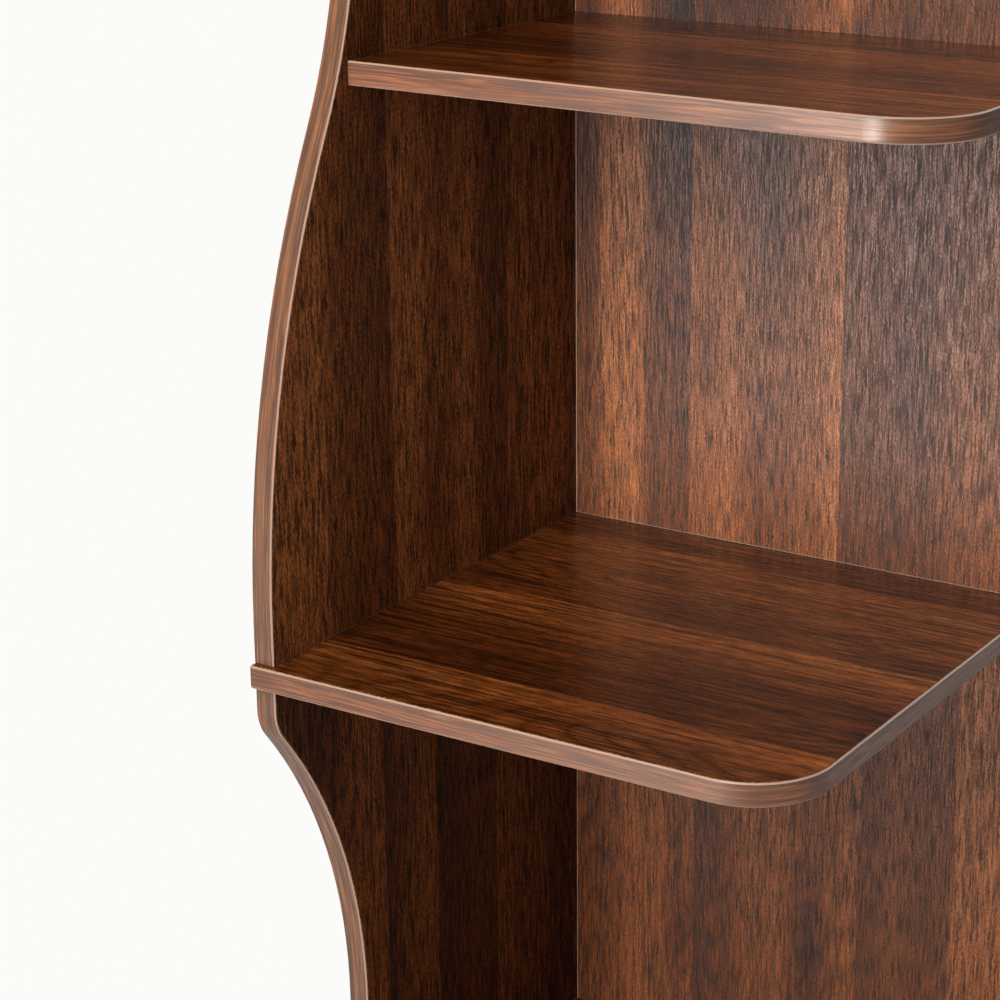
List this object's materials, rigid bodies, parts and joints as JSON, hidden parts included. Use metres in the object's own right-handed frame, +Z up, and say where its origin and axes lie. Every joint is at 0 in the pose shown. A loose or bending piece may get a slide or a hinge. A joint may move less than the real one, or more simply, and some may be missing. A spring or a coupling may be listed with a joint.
{
  "type": "curved corner shelf",
  "caption": "Corner shelf with wave-edged side panels, square round-cornered cap boards and inset shelves, in dark walnut foil with matching edge strips.",
  "frame": {"origin": "on the floor, under the middle of the whole part's box", "axes": "+Z up, +Y towards the back wall, -X towards the left wall"},
  "size_m": [0.427, 0.38, 1.5513],
  "materials": {
    "walnut_board": "semi-gloss walnut foil on particle board, grain along the back wall",
    "walnut_panel": "embossed satin walnut foil on particle board, grain upright",
    "walnut_edge_strip": "thin plastic edge strip with a printed walnut grain and trimmed pale corners",
    "zinc_plate": "zinc-plated cams, bolts and screws",
    "black_plastic": "moulded black plastic glides"
  },
  "bodies": {
    "root": {"base_board": "walnut_board", "base_board_edge_strip": "walnut_edge_strip", "base_screw_back_far": "zinc_plate", "base_screw_back_near": "zinc_plate", "base_screw_left_far": "zinc_plate", "base_screw_left_near": "zinc_plate", "glide_back_left": "black_plastic", "glide_back_right": "black_plastic", "glide_front_left": "black_plastic", "glide_front_right": "black_plastic", "lower_back_panel": "walnut_panel", "lower_back_panel_edge_strip": "walnut_edge_strip", "lower_corner_screw_high": "zinc_plate", "lower_corner_screw_low": "zinc_plate", "lower_left_panel": "walnut_panel", "lower_left_panel_edge_strip": "walnut_edge_strip", "lower_shelf": "walnut_board", "lower_shelf_edge_strip": "walnut_edge_strip", "lower_shelf_screw_back_far": "zinc_plate", "lower_shelf_screw_back_near": "zinc_plate", "lower_shelf_screw_left_far": "zinc_plate", "lower_shelf_screw_left_near": "zinc_plate", "mid_board": "walnut_board", "mid_board_edge_strip": "walnut_edge_strip", "over_mid_cam_bolt_back_far": "zinc_plate", "over_mid_cam_bolt_back_near": "zinc_plate", "over_mid_cam_bolt_left_far": "zinc_plate", "over_mid_cam_bolt_left_near": "zinc_plate", "over_mid_cam_lock_back_far": "zinc_plate", "over_mid_cam_lock_back_near": "zinc_plate", "over_mid_cam_lock_left_far": "zinc_plate", "over_mid_cam_lock_left_near": "zinc_plate", "top_board": "walnut_board", "top_board_edge_strip": "walnut_edge_strip", "top_cam_bolt_back_far": "zinc_plate", "top_cam_bolt_back_near": "zinc_plate", "top_cam_bolt_left_far": "zinc_plate", "top_cam_bolt_left_near": "zinc_plate", "top_cam_lock_back_far": "zinc_plate", "top_cam_lock_back_near": "zinc_plate", "top_cam_lock_left_far": "zinc_plate", "top_cam_lock_left_near": "zinc_plate", "under_mid_cam_lock_back_far": "zinc_plate", "under_mid_cam_lock_back_near": "zinc_plate", "under_mid_cam_lock_left_far": "zinc_plate", "under_mid_cam_lock_left_near": "zinc_plate", "upper_back_panel": "walnut_panel", "upper_back_panel_edge_strip": "walnut_edge_strip", "upper_corner_screw_high": "zinc_plate", "upper_corner_screw_low": "zinc_plate", "upper_left_panel": "walnut_panel", "upper_left_panel_edge_strip": "walnut_edge_strip", "upper_shelf": "walnut_board", "upper_shelf_edge_strip": "walnut_edge_strip", "upper_shelf_screw_back_far": "zinc_plate", "upper_shelf_screw_back_near": "zinc_plate", "upper_shelf_screw_left_far": "zinc_plate", "upper_shelf_screw_left_near": "zinc_plate"}
  },
  "joints": []
}
